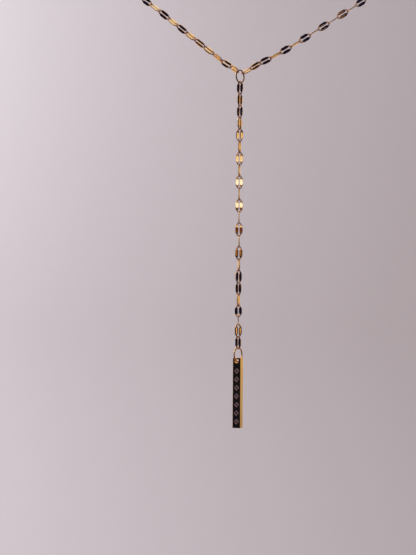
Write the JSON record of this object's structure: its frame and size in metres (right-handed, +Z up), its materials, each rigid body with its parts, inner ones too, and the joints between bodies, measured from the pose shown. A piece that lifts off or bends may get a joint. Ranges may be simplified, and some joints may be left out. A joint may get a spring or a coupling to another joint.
{
  "type": "y necklace",
  "caption": "Y necklace: a flat-sided link chain loop meeting at a ring, with a chain drop that ends in a hanging square bar pendant.",
  "frame": {"origin": "the nape of the neck, at the middle of the clasp", "axes": "+Z up, front towards -Y, +X to the viewer's right"},
  "size_m": [0.1422, 0.1117, 0.2404],
  "materials": {
    "chain_gold": "polished gold plate",
    "clasp_gold": "polished gold plate",
    "ring_gold": "polished gold plate, a little darker",
    "bar_gold": "polished gold plate, engraved"
  },
  "bodies": {
    "chains": {"neck_chain_left": "chain_gold", "neck_chain_right": "chain_gold", "clasp": "clasp_gold", "y_ring": "ring_gold", "drop_chain": "chain_gold"},
    "ring": {"pendant_ring": "ring_gold"},
    "bar": {"pendant_bar": "bar_gold"}
  },
  "joints": [
    {"name": "ring_swing", "type": "hinge", "parent": "chains", "child": "ring", "pos_m": [-0.005, -0.106, -0.20453], "axis": [0.829, -0.5592, 0], "range_deg": [-60, 60]},
    {"name": "bar_swing", "type": "hinge", "parent": "ring", "child": "bar", "pos_m": [-0.005, -0.106, -0.20958], "axis": [0.3502, 0.9367, 0], "range_deg": [-90, 90]}
  ]
}
